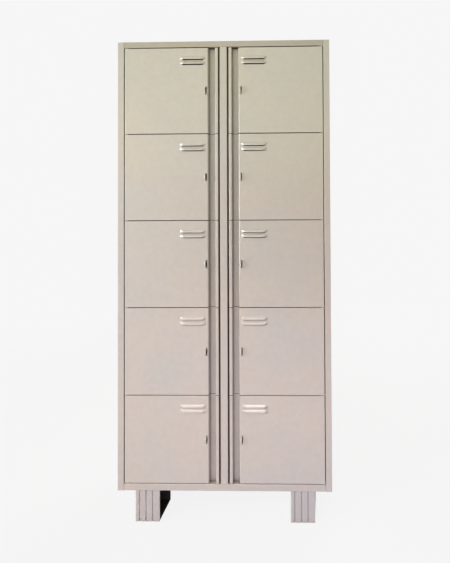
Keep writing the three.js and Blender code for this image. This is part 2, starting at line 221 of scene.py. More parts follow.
# Noises: scale per metre, detail and roughness
DRIFT_NOISE = (3.1, 3.0, 0.5)
MOTTLE_NOISE = (46.0, 4.0, 0.6)
WAVE_NOISE = (5.2, 1.0, 0.35)
PEEL_NOISE = (620.0, 1.5, 0.5)
SMEAR_NOISE = (23.0, 4.0, 0.65)
GRAIN_NOISE = (90.0, 5.0, 0.7)
POWDER_NOISE = (900.0, 2.0, 0.5)
BLOOM_NOISE = (70.0, 4.0, 0.6)
BRUSH_NOISE = (1500.0, 2.0, 0.5)

# Values of a noise between which a range of colour or roughness runs
NARROW = (0.35, 0.65)
WIDE = (0.3, 0.7)

# Ground, whose shading fades into the backdrop between two distances from the locker
PALE = (246, 246, 246)
GROUND_COLOR = (158, 156, 160)
GROUND_HALF = 8
GROUND_DEPTH = 0.01
FADE_START = 1.2
FADE_END = 3.5
NEAR_VEIL = 0.94

# Camera, with its distance from the locker's front
CAMERA_X = 0.398
CAMERA_DISTANCE = 1.645
CAMERA_HEIGHT = 1.295
CAMERA_YAW = 1.071
CAMERA_PITCH = 90.78
CAMERA_ROLL = -0.349
CAMERA_LENS = 25.6
CAMERA_SENSOR = 36
CAMERA_SHIFT = (-0.1555, -0.1445)
CAMERA_CLIP = 0.05

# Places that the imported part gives
post_low, post_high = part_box("centre_post")
stile_low, stile_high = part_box("frame_stile_right")
rail_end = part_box("frame_rail_top")[1].x
side_low, side_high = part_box("side_panel_right")
top_low, top_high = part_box("top_panel")
shelf_low, shelf_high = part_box("shelf_right_1")
door_low, door_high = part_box("door_right_1")
rod_low, rod_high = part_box("hinge_rod_right")
staple_low, staple_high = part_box("padlock_staple_right_1")
front = post_low.y
body_half = stile_high.x
body_bottom = stile_low.z
body_top = stile_high.z
open_half = rail_end + SEAT_GAP
open_bottom = post_low.z - SEAT_GAP
open_top = post_high.z + SEAT_GAP
post_half = post_high.x - POST_WING
stop_y = shelf_low.y
door_free = door_low.x
door_width = door_high.x - door_low.x
door_height = door_high.z - door_low.z
door_depth = door_high.y - front
face_start = LIP_WIDTH + LIP_SLOPE + RECESS_FLOOR + STEP_SLOPE + STEP_BEVEL
hinge_x = (rod_low.x + rod_high.x) / 2
hinge_y = (rod_low.y + rod_high.y) / 2
rod_radius = (rod_high.y - rod_low.y) / 2
staple_x = door_free + face_start + STAPLE_INSET
row_count = sum(name.startswith("door_right_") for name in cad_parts)
rows = range(1, row_count + 1)
CORNERS = ("front_left", "front_right", "rear_left", "rear_right")


# Mesh helpers

def at(axis, u, v, w):
    """Point with the section coordinates u and v, at w along the axis."""
    return {"x": (w, u, v), "y": (u, w, v), "z": (u, v, w)}[axis]


def placed(name, data):
    """New object in the scene."""
    obj = bpy.data.objects.new(name, data)
    bpy.context.scene.collection.objects.link(obj)
    return obj


def to_mesh(bm):
    mesh = bpy.data.meshes.new("shape")
    bm.to_mesh(mesh)
    bm.free()
    return mesh


def applied(mesh, kind, **settings):
    """The mesh with one modifier applied."""
    holder = placed("holder", mesh)
    modifier = holder.modifiers.new("step", kind)
    for key, value in settings.items():
        setattr(modifier, key, value)
    graph = bpy.context.evaluated_depsgraph_get()
    result = bpy.data.meshes.new_from_object(holder.evaluated_get(graph))
    bpy.data.objects.remove(holder)
    return result


def combined(mesh, operation, *others):
    """The mesh with the other solids, which don't meet each other, added or cut out."""
    partner = placed("partner", joined(*others))
    result = applied(mesh, "BOOLEAN", operation=operation, solver="EXACT", object=partner)
    bpy.data.objects.remove(partner)
    return result


def joined(*meshes):
    bm = bmesh.new()
    for mesh in meshes:
        bm.from_mesh(mesh)
    return to_mesh(bm)


def moved(mesh, x=0.0, y=0.0, z=0.0, turn=0.0):
    copy = mesh.copy()
    copy.transform(Matrix.Translation((x, y, z)) @ Matrix.Rotation(turn, 4, "Z"))
    return copy


def sided(mesh, side, z=0.0):
    """Copy of a right-hand shape, raised by z, for the side."""
    copy = moved(mesh, z=z)
    if side == "left":
        copy.transform(Matrix.Scale(-1, 4, (1, 0, 0)))
        copy.flip_normals()
    return copy


def prism(outline, axis, start, end):
    bm = bmesh.new()
    near = [bm.verts.new(at(axis, u, v, start)) for u, v in outline]
    far = [bm.verts.new(at(axis, u, v, end)) for u, v in outline]
    bm.faces.new(near)
    bm.faces.new(far)
    for i in range(len(outline)):
        j = (i + 1) % len(outline)
        bm.faces.new((near[i], near[j], far[j], far[i]))
    bmesh.ops.recalc_face_normals(bm, faces=bm.faces)
    return to_mesh(bm)


def box(x0, x1, y0, y1, z0, z1):
    return prism([(x0, y0), (x1, y0), (x1, y1), (x0, y1)], "z", z0, z1)


def circle(u, v, radius, sides=24):
    angles = [2 * math.pi * i / sides for i in range(sides)]
    return [(u + radius * math.cos(a), v + radius * math.sin(a)) for a in angles]


def rounded_corner(corner, back, onward, radius):
    """Points round a corner: back and onward point along the two sides, away from it."""
    points = []
    for i in range(CORNER_STEPS + 1):
        angle = math.pi / 2 * i / CORNER_STEPS
        p, q = radius * (1 - math.sin(angle)), radius * (1 - math.cos(angle))
        points.append((corner[0] + back[0] * p + onward[0] * q, corner[1] + back[1] * p + onward[1] * q))
    return points


def softened(mesh, width):
    """The mesh with its sharp edges rounded."""
    return applied(mesh, "BEVEL", width=width, segments=EDGE_SEGMENTS, limit_method="ANGLE",
                   angle_limit=math.radians(SHARP_ANGLE), use_clamp_overlap=True)


def strip(line, axis, start, end):
    """Faces of a folded line of points, drawn out along an axis."""
    return [[at(axis, *p, start), at(axis, *q, start), at(axis, *q, end), at(axis, *p, end)]
            for p, q in zip(line, line[1:])]


def pressed(faces, lead, facing, thickness, bend):
    """A sheet folded from the faces of its visible skin, of which number lead looks along facing."""
    bm = bmesh.new()
    known = {}
    for corners in faces:
        keys = [tuple(round(c, 7) for c in corner) for corner in corners]
        for key in keys:
            if key not in known:
                known[key] = bm.verts.new(key)
        bm.faces.new([known[key] for key in keys])
    bmesh.ops.recalc_face_normals(bm, faces=bm.faces)
    bm.faces.ensure_lookup_table()
    if bm.faces[lead].normal.dot(Vector(facing)) < 0:
        bmesh.ops.reverse_faces(bm, faces=bm.faces)
    folds = [edge for edge in bm.edges
             if len(edge.link_faces) == 2 and edge.calc_face_angle() > math.radians(FOLD_ANGLE)]
    bmesh.ops.bevel(bm, geom=folds, offset=bend, offset_type="OFFSET", segments=FOLD_SEGMENTS,
                    profile=0.5, affect="EDGES", clamp_overlap=True)
    return applied(to_mesh(bm), "SOLIDIFY", thickness=thickness, offset=-1.0,
                   use_even_offset=True, use_quality_normals=True)


def rings_solid(rings, is_loop=False):
    """Closed solid through rings of points, which have as many points each."""
    bm = bmesh.new()
    rows_made = [[bm.verts.new(point) for point in ring] for ring in rings]
    pairs = list(zip(rows_made, rows_made[1:]))
    if is_loop:
        pairs.append((rows_made[-1], rows_made[0]))
    else:
        bm.faces.new(rows_made[0])
        bm.faces.new(rows_made[-1])
    for a, b in pairs:
        for i in range(len(a)):
            j = (i + 1) % len(a)
            bm.faces.new((a[i], a[j], b[j], b[i]))
    bmesh.ops.recalc_face_normals(bm, faces=bm.faces)
    return to_mesh(bm)


def turned(x, y, profile, sides):
    """Upright turned solid from a profile of radius and height."""
    return rings_solid([[(u, v, z) for u, v in circle(x, y, radius, sides)] for radius, z in profile])


def weld_bead(x, y, z, ring_radius):
    """Low ring of weld round a rod that stands along Y."""
    rings = []
    for i in range(BEAD_STEPS):
        angle = 2 * math.pi * i / BEAD_STEPS
        bead = BEAD_RADIUS * (1 + BEAD_RIPPLE * math.sin(BEAD_LOBES * angle))
        rings.append([(x + reach * math.cos(angle), v, z + reach * math.sin(angle))
                      for reach, v in circle(ring_radius, y, bead, BEAD_SIDES)])
    return rings_solid(rings, is_loop=True)


# Materials

def linear(*color):
    """Linear colour from display values between 0 and 255."""
    shares = [c / 255 for c in color]
    return tuple(s / 12.92 if s < 0.04045 else ((s + 0.055) / 1.055) ** 2.4 for s in shares) + (1.0,)


def tinted(color, shares):
    return tuple(c * s for c, s in zip(color, shares)) + (1.0,)


def node(tree, kind, inputs=None, **settings):
    """New node, whose inputs are linked to the sockets given, or set to the values."""
    made = tree.nodes.new("ShaderNode" + kind)
    for key, value in settings.items():
        setattr(made, key, value)
    for key, value in (inputs or {}).items():
        if isinstance(value, bpy.types.NodeSocket):
            tree.links.new(value, made.inputs[key])
        else:
            made.inputs[key].default_value = value
    return made


def new_tree(name):
    material = bpy.data.materials.new(name)
    material.use_nodes = True
    material.node_tree.nodes.clear()
    return material, material.node_tree


def noise(tree, place, scale, detail, roughness):
    inputs = {"Vector": place, "Scale": scale, "Detail": detail, "Roughness": roughness}
    return node(tree, "TexNoise", inputs).outputs["Fac"]


def ranged(tree, value, from_min, from_max, to_min, to_max):
    inputs = {"Value": value, "From Min": from_min, "From Max": from_max, "To Min": to_min, "To Max": to_max}
    return node(tree, "MapRange", inputs).outputs["Result"]


def calculated(tree, operation, a, b):
    return node(tree, "Math", {0: a, 1: b}, operation=operation).outputs[0]


def blended(tree, factor, a, b, mode="MIX"):
    inputs = {0: factor, 6: a, 7: b}
    return node(tree, "Mix", inputs, data_type="RGBA", blend_type=mode).outputs[2]


def bumped(tree, height, distance, **under):
    """Normals raised by a height, over the normals given as Normal, if any."""
    return node(tree, "Bump", {"Height": height, "Distance": distance, **under}).outputs["Normal"]


def shaded(tree, inputs):
    """Ends a material in one shader with these inputs."""
    shader = node(tree, "BsdfPrincipled", inputs)
    node(tree, "OutputMaterial", {"Surface": shader.outputs["BSDF"]})


def enamel(name, color, roughness=ENAMEL_ROUGHNESS, wave=SHEET_WAVE, painted_shade=SHADE_PAINT_STRENGTH):
    """Stoved enamel on thin sheet, with slow waves and fine orange peel. Painted shade darkens corners, seams
    and recesses by ambient occlusion, and faces that look up get little of it, standing in for light from
    above."""
    material, tree = new_tree(name)
    place = node(tree, "TexCoord").outputs["Object"]
    base = linear(*color)
    drift = ranged(tree, noise(tree, place, *DRIFT_NOISE), *NARROW, 0.0, 1.0)
    tone = blended(tree, drift, tinted(base, WARM_TINT), tinted(base, COOL_TINT))
    mottle = ranged(tree, noise(tree, place, *MOTTLE_NOISE), *WIDE, *MOTTLE_SHARES)
    grey = node(tree, "CombineColor", {"Red": mottle, "Green": mottle, "Blue": mottle}).outputs["Color"]
    tone = blended(tree, 1.0, tone, grey, "MULTIPLY")
    # Painted shade: ambient occlusion mixes a dark brown into corners, recesses, seams and grooves.
    shade = node(tree, "AmbientOcclusion", {"Distance": SHADE_PAINT_REACH}, samples=8).outputs["AO"]
    # Faces that look up keep only a small share of the painted shade, as if lit from above.
    facing = node(tree, "NewGeometry").outputs["Normal"]
    upward = node(tree, "SeparateXYZ", {"Vector": facing}).outputs["Z"]
    shade_on_slope = ranged(tree, upward, *UPLIT_SLOPES, painted_shade, painted_shade * UPLIT_SHARE)
    painted_shade_mask = calculated(tree, "MULTIPLY", ranged(tree, shade, *SHADE_PAINT_OCCLUSION, 1.0, 0.0), shade_on_slope)
    tone = blended(tree, painted_shade_mask, tone, linear(*SHADE_PAINT_COLOR))
    waves = bumped(tree, noise(tree, place, *WAVE_NOISE), wave)
    normal = bumped(tree, noise(tree, place, *PEEL_NOISE), ORANGE_PEEL, Normal=waves)
    rough = ranged(tree, noise(tree, place, *SMEAR_NOISE), *WIDE, roughness - POLISHED, roughness + SMEARED)
    shaded(tree, {"Base Color": tone, "Roughness": rough, "Normal": normal,
                  "Specular IOR Level": ENAMEL_SPECULAR,
                  "Coat Weight": 1.0, "Coat Roughness": COAT_ROUGHNESS})
    return material


def primer(name, color):
    """Matt primer with a powdery grain."""
    material, tree = new_tree(name)
    place = node(tree, "TexCoord").outputs["Object"]
    base = linear(*color)
    grain = ranged(tree, noise(tree, place, *GRAIN_NOISE), *NARROW, 0.0, 1.0)
    tone = blended(tree, grain, base, tinted(base, PRIMER_SHADE))
    normal = bumped(tree, noise(tree, place, *POWDER_NOISE), FINE_GRAIN)
    shaded(tree, {"Base Color": tone, "Roughness": PRIMER_ROUGHNESS, "Normal": normal})
    return material


def plated(name, color):
    """Zinc plating: fine lengthwise brushing and a cloudy bloom."""
    material, tree = new_tree(name)
    place = node(tree, "TexCoord").outputs["Object"]
    base = linear(*color)
    cloud = ranged(tree, noise(tree, place, *BLOOM_NOISE), *WIDE, 0.0, 1.0)
    tone = blended(tree, cloud, base, tinted(base, PLATED_SHADE))
    lengthwise = node(tree, "Mapping", {"Vector": place, "Scale": BRUSH_STRETCH}).outputs["Vector"]
    normal = bumped(tree, noise(tree, lengthwise, *BRUSH_NOISE), FINE_GRAIN)
    rough = ranged(tree, cloud, 0.0, 1.0, *PLATED_ROUGHNESS)
    shaded(tree, {"Base Color": tone, "Metallic": 1.0, "Roughness": rough, "Normal": normal})
    return material


MATERIALS = {
    "door_enamel": enamel("door_enamel", (206, 196, 182)),
    "frame_enamel": enamel("frame_enamel", (203, 192, 179), wave=0.0002),
    "carcass_enamel": enamel("carcass_enamel", (204, 194, 181)),
    "leg_enamel": enamel("leg_enamel", (197, 189, 181), wave=0.0001, painted_shade=0.3),
    "staple_enamel": enamel("staple_enamel", (208, 200, 186), wave=0.0, roughness=0.3),
    "stiffener_primer": primer("stiffener_primer", (150, 145, 134)),
    "plated_steel": plated("plated_steel", (200, 201, 200)),
}
# Darker copy of the frame's enamel for the top rail: painted shade along the top of the front.
top_rail_shaded_enamel = enamel("top_rail_shaded_enamel", (184, 173, 156), wave=0.0002)
# Near-black primer inside the legs' channels: painted shade where the channel lies in shadow.
leg_inside_painted_shade = primer("leg_inside_painted_shade", (60, 50, 43))


def piece(name, mesh, body, slot, *nodes):
    """Adds a finished piece that rides on a body and stands for CAD nodes."""
    obj = placed(name, mesh)
    mesh.name = name
    mesh.polygons.foreach_set("use_smooth", [True] * len(mesh.polygons))
    mesh.set_sharp_from_angle(angle=math.radians(SHARP_ANGLE))
    if not mesh.materials:
        mesh.materials.append(MATERIALS[slot])
    weighted = obj.modifiers.new("weighted", "WEIGHTED_NORMAL")
    weighted.keep_sharp = True
    weighted.weight = FLAT_WEIGHT
    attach(obj, body)
    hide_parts(*nodes)


# Doors

def louvre_hood(start, bottom):
    """Pressed hood, open along its lower edge between two closed, rounded ends."""
    turns = [math.pi / 2 * i / LOUVRE_END_STEPS for i in range(LOUVRE_END_STEPS + 1)]
    ramp = [LOUVRE_END * (1 - math.cos(turn)) for turn in turns]
    places = ramp + [LOUVRE_LENGTH / 2] + [LOUVRE_LENGTH - along for along in reversed(ramp)]
    root = front + LOUVRE_SINK
    bm = bmesh.new()
    grid = []
    for along in places:
        reach = min(along, LOUVRE_LENGTH - along, LOUVRE_END) / LOUVRE_END
        parted = max(reach - LOUVRE_END_CLOSED, 0) / (1 - LOUVRE_END_CLOSED)
        openness = parted * parted * (3 - 2 * parted)
        high = LOUVRE_HEIGHT * (0.5 + 0.5 * math.sqrt(max(1 - (1 - reach) ** 2, 0)))
        swell = LOUVRE_END_SWELL * math.sin(2 * math.pi * reach)
        proud = (LOUVRE_PROUD + LOUVRE_SINK) * (reach - swell)
        line = []
        for down, out in HOOD_SECTION:
            closed = out if down < 0 else 1 - (2 * down - 1) ** 4
            level = openness * out + (1 - openness) * closed
            line.append(bm.verts.new((start + along, root - proud * level, bottom + high * (1 - down))))
        grid.append(line)
    for a, b in zip(grid, grid[1:]):
        for i in range(len(a) - 1):
            bm.faces.new((a[i], b[i], b[i + 1], a[i + 1]))
    bmesh.ops.recalc_face_normals(bm, faces=bm.faces)
    middle = min(bm.faces, key=lambda f: abs(f.calc_center_median().x - start - LOUVRE_LENGTH / 2))
    if middle.normal.y > 0:
        bmesh.ops.reverse_faces(bm, faces=bm.faces)
    return applied(to_mesh(bm), "SOLIDIFY", thickness=LOUVRE_SHEET, offset=-1.0, use_even_offset=False)


def door_skin():
    """Folded sheet of a door, from the return behind its lip to the return at its hinge edge."""
    floor_start = LIP_WIDTH + LIP_SLOPE
    floor_end = floor_start + RECESS_FLOOR
    flange_share = (RECESS_DEPTH - END_FLANGE) / (RECESS_DEPTH - STEP_BEVEL)
    recess = [(LIP_RETURN, door_depth), (0, door_depth), (0, 0), (LIP_WIDTH, 0), (floor_start, RECESS_DEPTH),
              (floor_end, RECESS_DEPTH)]
    flanged = [(floor_end + STEP_SLOPE * flange_share, END_FLANGE), (floor_end + STEP_SLOPE, STEP_BEVEL),
               (face_start, 0), (door_width, 0), (door_width, END_FLANGE)]
    hinge_edge = [(door_width, door_depth), (door_width - HINGE_RETURN, door_depth)]
    line = [(door_free + u, front + v) for u, v in recess + flanged + hinge_edge]
    faces = strip(line, "z", 0, door_height)
    # The end flanges close the box behind the flat face, and stop short of the bends at its back.
    for z in (0, door_height):
        faces.append([(door_free + u, front + v, z) for u, v in flanged])
    flat_face = len(recess) + flanged.index((face_start, 0))
    return pressed(faces, flat_face, (0, -1, 0), DOOR_SHEET, DOOR_BEND)


def door_shape():
    """Door with its pivot plates, rod holes, staple slot and louvres, and its lower edge at zero height."""
    half_sheet = DOOR_SHEET / 2
    plates = []
    x1 = door_free + door_width - half_sheet
    for z0 in (half_sheet, door_height - DOOR_SHEET - PIVOT_PLATE):
        plates.append(box(x1 - PIVOT_WIDTH, x1, front + PIVOT_START, front + END_FLANGE,
                          z0, z0 + PIVOT_PLATE + half_sheet))
    mesh = combined(door_skin(), "UNION", *plates)

    start = door_free + face_start + LOUVRE_INSET
    end = start + LOUVRE_LENGTH
    before, behind = front - DOOR_SHEET, front + 2 * DOOR_SHEET
    mouths, hoods = [], []
    for i in range(LOUVRE_COUNT):
        bottom = door_height - LOUVRE_DROP - i * LOUVRE_PITCH - LOUVRE_HEIGHT
        mouths.append(box(start + LOUVRE_MOUTH_MARGIN, end - LOUVRE_MOUTH_MARGIN, before, behind,
                          bottom - LOUVRE_GAP, bottom + LOUVRE_MOUTH_HEIGHT))
        hoods.append(louvre_hood(start, bottom))
    pivot = circle(hinge_x, hinge_y, rod_radius + PIVOT_CLEARANCE)
    hole = prism(pivot, "z", -WIDE_CUT_MARGIN, door_height + WIDE_CUT_MARGIN)
    oval = [(staple_x + u * SLOT_HALF_WIDTH, door_height / 2 + v * SLOT_HALF_HEIGHT)
            for u, v in circle(0, 0, 1, SLOT_SIDES)]
    mesh = combined(mesh, "DIFFERENCE", hole, prism(oval, "y", before, behind), *mouths)
    return combined(mesh, "UNION", *hoods)


def stiffener_shape():
    low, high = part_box("door_stiffener_right_1")
    centre = (low.x + high.x) / 2
    half = (high.x - low.x) / 2 - STIFFENER_FLANGE
    near, far = low.y + DOOR_SHEET, high.y
    line = [(high.x, near), (centre + half, near), (centre + half, far), (centre - half, far),
            (centre - half, near), (low.x, near)]
    return pressed(strip(line, "z", low.z, high.z), MIDDLE_OF_FIVE, (0, 1, 0), DOOR_SHEET, STIFFENER_BEND)


def staple_shape():
    """Bent rod on its bracket plate, centred on zero height."""
    radius, bend = STAPLE_RADIUS, STAPLE_BEND
    plate_y = staple_high.y - BRACKET_PLATE
    inside_y, shank_y = plate_y + BRACKET_PLATE / 2, plate_y - STAPLE_SHANK
    bow_y = staple_low.y + radius + bend
    path = [(inside_y, bend, 0.0), (shank_y, bend, 0.0)]
    for i in range(STAPLE_STEPS + 1):
        angle = math.pi * i / STAPLE_STEPS
        path.append((bow_y - bend * math.sin(angle), bend * math.cos(angle), angle))
    path += [(shank_y, -bend, math.pi), (inside_y, -bend, math.pi)]
    rings = []
    for y, z, angle in path:
        across = Vector((0, math.sin(angle), -math.cos(angle)))
        turns = [2 * math.pi * k / STAPLE_SIDES for k in range(STAPLE_SIDES)]
        spokes = [math.cos(t) * Vector((1, 0, 0)) + math.sin(t) * across for t in turns]
        rings.append([Vector((staple_x, y, z)) + radius * spoke for spoke in spokes])
    half = (staple_high.z - staple_low.z) / 2
    plate = box(staple_low.x, staple_high.x, plate_y, plate_y + BRACKET_PLATE, -half, half)
    mesh = combined(softened(plate, PLATE_EDGE), "UNION", rings_solid(rings))
    beads = [weld_bead(staple_x, plate_y, z, radius + BEAD_OFFSET) for z in (-bend, bend)]
    return combined(mesh, "UNION", *beads)


# Frame

def stile_shape():
    """Right-hand stile with its hinge tabs, notched above the side panel."""
    line = [(body_half, front), (open_half, front), (open_half, stop_y), (open_half - STOP_LAP, stop_y)]
    mesh = pressed(strip(line, "z", body_bottom, body_top), 0, (0, -1, 0), FRAME_SHEET, FRAME_BEND)
    behind = side_low.y - SEAT_GAP / 2
    notch = box(open_half - STOP_LAP - CUT_MARGIN, body_half + CUT_MARGIN, behind, behind + NOTCH_DEPTH,
                side_high.z, body_top + CUT_MARGIN)
    mesh = combined(mesh, "DIFFERENCE", notch)
    tabs = []
    for row in range(row_count + 1):
        seam = open_top - row * (door_height + DOOR_GAP) - DOOR_GAP / 2
        tab = box(open_half - TAB_REACH, open_half + FRAME_SHEET / 2,
                  front + TAB_RECESS, front + TAB_RECESS + TAB_DEPTH,
                  seam - TAB_THICKNESS / 2, seam + TAB_THICKNESS / 2)
        tabs.append(softened(tab, TAB_EDGE))
    mesh = combined(mesh, "UNION", *tabs)
    hole = prism(circle(hinge_x, hinge_y, rod_radius + PIN_CLEARANCE), "z", body_bottom, body_top)
    return combined(mesh, "DIFFERENCE", hole)


def rail_shape(edge, inner, has_return):
    """Rail between the body's edge and the opening, cut clear of the stiles' stops and the post."""
    up = 1 if inner > edge else -1
    line = [(front, edge), (front, inner), (stop_y, inner), (stop_y, inner + up * STOP_LAP)]
    if has_return:
        line.insert(0, (front + RAIL_RETURN, edge))
    front_strip = 1 if has_return else 0
    mesh = pressed(strip(line, "x", -rail_end, rail_end), front_strip, (0, -1, 0), FRAME_SHEET, RAIL_BEND)
    tip, root = inner + up * (STOP_LAP + CUT_MARGIN), inner - up * (FRAME_SHEET + CUT_MARGIN)
    wing = post_high.x + SEAT_GAP
    stop = open_half - STOP_LAP - SEAT_GAP
    end = rail_end + CUT_MARGIN
    cuts = [box(x0, x1, y0, stop_y + WIDE_CUT_MARGIN, min(z, tip), max(z, tip))
            for x0, x1, y0, z in ((-end, -stop, stop_y - SEAT_GAP, root),
                                  (-wing, wing, stop_y - CUT_MARGIN, inner),
                                  (stop, end, stop_y - SEAT_GAP, root))]
    return combined(mesh, "DIFFERENCE", *cuts)


def post_shape():
    line = [(-post_high.x, stop_y), (-post_half, stop_y), (-post_half, front), (post_half, front),
            (post_half, stop_y), (post_high.x, stop_y)]
    strips = strip(line, "z", post_low.z, post_high.z)
    return pressed(strips, MIDDLE_OF_FIVE, (0, -1, 0), FRAME_SHEET, FRAME_BEND)


# Carcass

def shelf_shape():
    """Tray with a hemmed front flange between the stops, and lower flanges on its other sides."""
    x0, x1 = shelf_low.x, shelf_high.x
    left, right = post_high.x + SEAT_GAP, open_half - STOP_LAP - SEAT_GAP
    y0, y1, y2 = shelf_low.y, shelf_low.y + FRAME_SHEET + SEAT_GAP, shelf_high.y
    top = shelf_high.z
    lip, flange = top - SHELF_FLANGE, top - SHELF_SIDE_FLANGE
    hem = y0 + SHELF_HEM
    faces = [[(x0, y1, top), (left, y1, top), (left, y0, top), (right, y0, top), (right, y1, top),
              (x1, y1, top), (x1, y2, top), (x0, y2, top)],
             [(left, y0, top), (right, y0, top), (right, y0, lip), (left, y0, lip)],
             [(left, y0, lip), (right, y0, lip), (right, hem, lip), (left, hem, lip)]]
    for near, far in (((x0, y1), (x0, y2)), ((x1, y1), (x1, y2)), ((x0, y2), (x1, y2))):
        faces.append([(*near, top), (*far, top), (*far, flange), (*near, flange)])
    return pressed(faces, 0, (0, 0, 1), CARCASS_SHEET, TRAY_BEND)


def side_panel_shape():
    """Flat sheet with a row of spot-weld dimples along each shelf's flange."""
    mesh = box(side_low.x, side_high.x, side_low.y, side_high.y, side_low.z, side_high.z)
    step = (side_high.y - side_low.y - 2 * WELD_MARGIN) / (WELD_COUNT - 1)
    dimples = []
    for row in rows[:-1]:
        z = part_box(f"shelf_right_{row}")[1].z - WELD_DROP
        for i in range(WELD_COUNT):
            y = side_low.y + WELD_MARGIN + step * i
            rings = [[(side_high.x - depth, u, v) for u, v in circle(y, z, radius, WELD_SIDES)]
                     for depth, radius in WELD_RINGS]
            dimples.append(rings_solid(rings))
    return combined(softened(mesh, SIDE_EDGE), "DIFFERENCE", *dimples)


def floor_shape():
    """Floor pan with a leg rail along each side, and weld nuts for the leg bolts."""
    low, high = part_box("bottom_panel")
    top = open_bottom - FLOOR_DROP
    line = [(FLOOR_RAIL + low.x, low.z), (low.x, low.z), (low.x, top), (high.x, top),
            (high.x, low.z), (high.x - FLOOR_RAIL, low.z)]
    strips = strip(line, "y", low.y, high.y)
    mesh = pressed(strips, MIDDLE_OF_FIVE, (0, 0, 1), CARCASS_SHEET, TRAY_BEND)
    nut_top = low.z + CARCASS_SHEET + NUT_HEIGHT
    nuts, holes = [], []
    for corner in CORNERS:
        bolt_low, bolt_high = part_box(f"leg_bolt_{corner}")
        x, y = (bolt_low.x + bolt_high.x) / 2, (bolt_low.y + bolt_high.y) / 2
        nut = prism(circle(x, y, NUT_RADIUS, HEXAGON), "z", low.z + CARCASS_SHEET / 2, nut_top)
        nuts.append(softened(nut, NUT_EDGE))
        bore = circle(x, y, BOLT_RADIUS + BOLT_CLEARANCE)
        holes.append(prism(bore, "z", low.z - CUT_MARGIN, nut_top + CUT_MARGIN))
    return combined(combined(mesh, "UNION", *nuts), "DIFFERENCE", *holes)


# Legs

def leg_shape():
    """Fluted channel leg with its top and foot plates, with its middle at the origin."""
    low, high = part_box("leg_front_right")
    half_x, half_y, height = (high.x - low.x) / 2, (high.y - low.y) / 2, high.z
    line = [(half_x, -half_y)]
    for i in reversed(range(GROOVE_COUNT)):
        centre = GROOVE_START + i * GROOVE_PITCH - half_x
        for k in range(GROOVE_STEPS + 1):
            across = 1 - 2 * k / GROOVE_STEPS
            depth = GROOVE_DEPTH * (0.5 + 0.5 * math.cos(math.pi * across))
            line.append((centre + across * GROOVE_WIDTH / 2, depth - half_y))
    inner = LEG_CORNER - LEG_SHEET
    inner_x, rear_wall = LEG_SHEET - half_x, half_y - LEG_SHEET
    front_wall = LEG_SHEET + GROOVE_DEPTH - half_y
    line += rounded_corner((-half_x, -half_y), (1, 0), (0, 1), LEG_CORNER)
    line += rounded_corner((-half_x, half_y), (0, -1), (1, 0), LEG_CORNER)
    line += [(half_x, half_y), (half_x, rear_wall)]
    line += reversed(rounded_corner((inner_x, rear_wall), (0, -1), (1, 0), inner))
    line += reversed(rounded_corner((inner_x, front_wall), (1, 0), (0, 1), inner))
    line += [(half_x, front_wall)]
    mesh = prism(line, "z", LEG_SHEET / 2, height - LEG_SHEET / 2)
    plates = []
    for z0, radius in ((0, FOOT_HOLE), (height - LEG_SHEET, BOLT_RADIUS + BOLT_CLEARANCE)):
        z1 = z0 + LEG_SHEET
        plate = box(LEG_PLATE_INSET - half_x, half_x - LEG_PLATE_INSET,
                    GROOVE_DEPTH + LEG_PLATE_INSET - half_y, half_y - LEG_PLATE_INSET, z0, z1)
        hole = prism(circle(0, 0, radius), "z", z0 - CUT_MARGIN, z1 + CUT_MARGIN)
        plates.append(combined(softened(plate, PLATE_EDGE), "DIFFERENCE", hole))
    mesh = combined(mesh, "UNION", *plates)

    # The faces within the channel get a near-black primer, painted shade for the channel's shadow, and the
    # walls' outer parts have enamel.
    mesh.materials.clear()
    mesh.materials.append(MATERIALS["leg_enamel"])
    mesh.materials.append(leg_inside_painted_shade)
    wall = 0.8 * LEG_SHEET
    for face in mesh.polygons:
        x, y, z = face.center
        is_inside = (x > wall - half_x and front_wall - 0.1 * wall < y < half_y - wall
                     and wall < z < height - wall)
        face.material_index = int(is_inside)
    return mesh


def bolt_shape():
    low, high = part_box("leg_bolt_front_right")
    head = prism(circle(0, 0, BOLT_HEAD, HEXAGON), "z", low.z, low.z + BOLT_HEAD_HEIGHT)
    profile = [(BOLT_RADIUS, low.z + BOLT_SHANK_START), (BOLT_RADIUS, high.z - BOLT_TIP),
               (BOLT_RADIUS - BOLT_TIP, high.z)]
    return combined(softened(head, BOLT_EDGE), "UNION", turned(0, 0, profile, BOLT_SIDES))


def rod_shape():
    profile = [(rod_radius - ROD_CHAMFER, rod_low.z), (rod_radius, rod_low.z + ROD_CHAMFER),
               (rod_radius, rod_high.z - ROD_CHAMFER), (rod_radius - ROD_CHAMFER, rod_high.z)]
    return turned(hinge_x, hinge_y, profile, ROD_SIDES)


# Every piece in its place

LOCKER = "locker_body"
top_cover = box(top_low.x, top_high.x, top_low.y, top_high.y, top_low.z, top_high.z)
piece("top_cover", softened(top_cover, TOP_EDGE), LOCKER, "carcass_enamel", "top_panel")
piece("floor_pan", floor_shape(), LOCKER, "carcass_enamel", "bottom_panel")
top_rail = rail_shape(body_top, open_top, False)
# The top rail takes the darker enamel, painted shade.
top_rail.materials.append(top_rail_shaded_enamel)
piece("top_rail", top_rail, LOCKER, "frame_enamel", "frame_rail_top")
bottom_rail = rail_shape(body_bottom, open_bottom, True)
piece("bottom_rail", bottom_rail, LOCKER, "frame_enamel", "frame_rail_bottom")
piece("middle_post", post_shape(), LOCKER, "frame_enamel", "centre_post")

